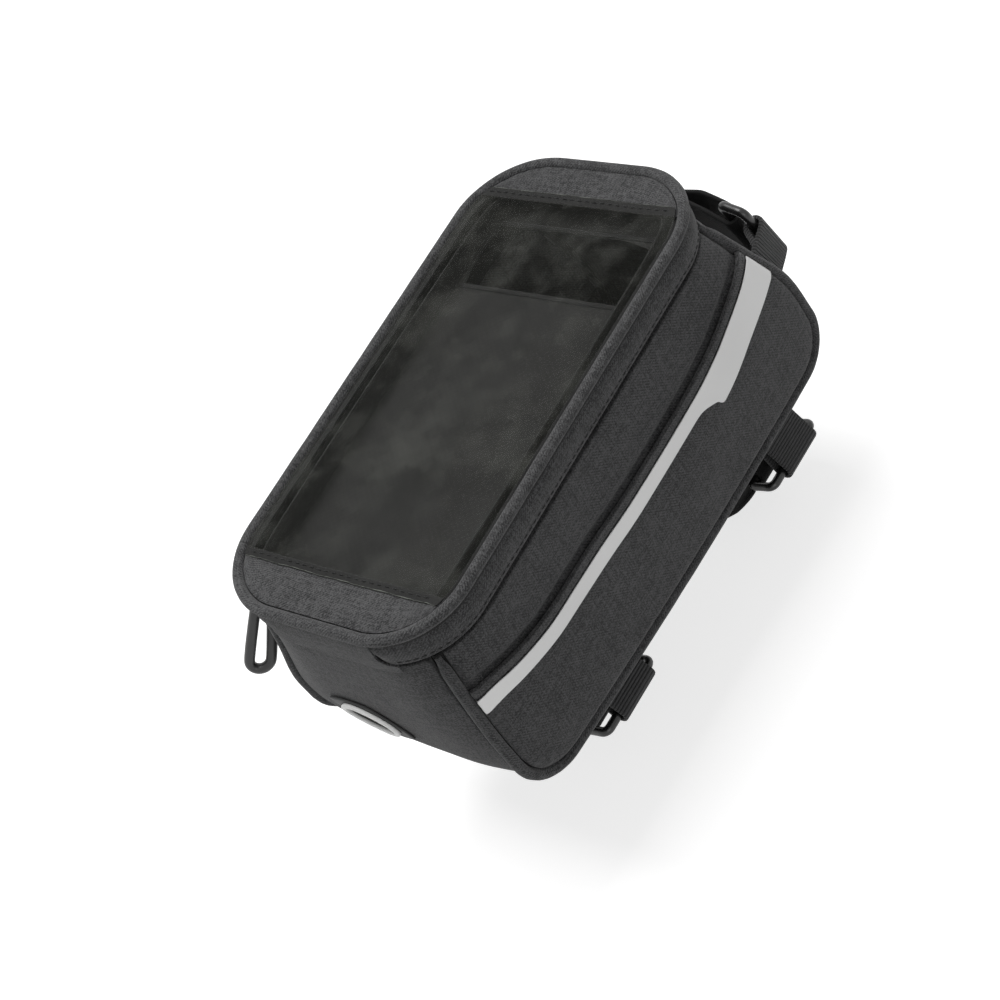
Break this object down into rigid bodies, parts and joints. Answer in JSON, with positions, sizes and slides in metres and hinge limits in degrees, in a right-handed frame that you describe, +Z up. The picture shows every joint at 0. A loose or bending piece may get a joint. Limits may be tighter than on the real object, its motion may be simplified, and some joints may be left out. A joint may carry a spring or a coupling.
{
  "type": "bicycle top tube bag",
  "caption": "Padded cloth bicycle top tube bag with a clear window in its zipped lid, slip pockets and reflective stripes on the sides, a rear cable port and webbing strap loops.",
  "frame": {"origin": "middle of the lower face of the webbing strip under the base, where the bag sits on the tube", "axes": "+X to the bag's right, +Y forward to the end with the head strap, +Z up out of the base"},
  "size_m": [0.1121, 0.2139, 0.1384],
  "materials": {
    "cloth": "matte charcoal twill",
    "piping": "matte cloth-covered cord",
    "film": "clear flexible film, slightly glossy",
    "lining": "matte lining",
    "zip_tape": "woven tape",
    "zip_coil": "moulded coil",
    "reflective": "satin light grey",
    "webbing": "ribbed woven webbing",
    "buckle": "moulded, slightly glossy",
    "port_rubber": "matte",
    "port_ring": "satin white",
    "board": "plain",
    "slider_metal": "dark enamel",
    "puller_rubber": "smooth"
  },
  "bodies": {
    "bag": {"anchor_tab_front": "webbing", "anchor_tab_head": "webbing", "anchor_tab_rear": "webbing", "base_board": "board", "base_panel": "cloth", "base_webbing": "webbing", "cable_port_patch": "port_rubber", "cable_port_ring": "port_ring", "front_panel": "cloth", "pocket_hem_left": "cloth", "pocket_hem_right": "cloth", "rear_panel": "cloth", "reflective_strip_left": "reflective", "reflective_strip_right": "reflective", "ring_buckle_front": "buckle", "ring_buckle_head": "buckle", "ring_buckle_rear": "buckle", "side_panel_left": "cloth", "side_panel_right": "cloth", "side_piping_left": "piping", "side_piping_right": "piping", "side_pocket_left": "cloth", "side_pocket_right": "cloth", "strap_front": "webbing", "strap_head": "webbing", "strap_rear": "webbing", "zip_coil_body": "zip_coil", "zip_tape_body": "zip_tape"},
    "lid": {"lid_front_panel": "cloth", "lid_hinge_band": "cloth", "lid_piping": "piping", "lid_rear_panel": "cloth", "rain_flap": "cloth", "window_film": "film", "window_sleeve": "lining", "zip_coil_lid": "zip_coil", "zip_tape_lid": "zip_tape"},
    "zip_slider": {"zip_slider": "slider_metal"},
    "zip_puller": {"zip_puller": "puller_rubber"}
  },
  "joints": [
    {"name": "lid_hinge", "type": "hinge", "parent": "bag", "child": "lid", "pos_m": [0, -0.11571, 0.07095], "axis": [1, 0, 0], "range_deg": [0, 110]},
    {"name": "zip_slide", "type": "slide", "parent": "bag", "child": "zip_slider", "axis": [0, 0.999, 0.0436], "range_m": [0, 0.115]},
    {"name": "puller_swing", "type": "hinge", "parent": "zip_slider", "child": "zip_puller", "pos_m": [-0.0481, -0.08843, 0.07214], "axis": [1, 0, 0], "range_deg": [-55, 120]}
  ]
}
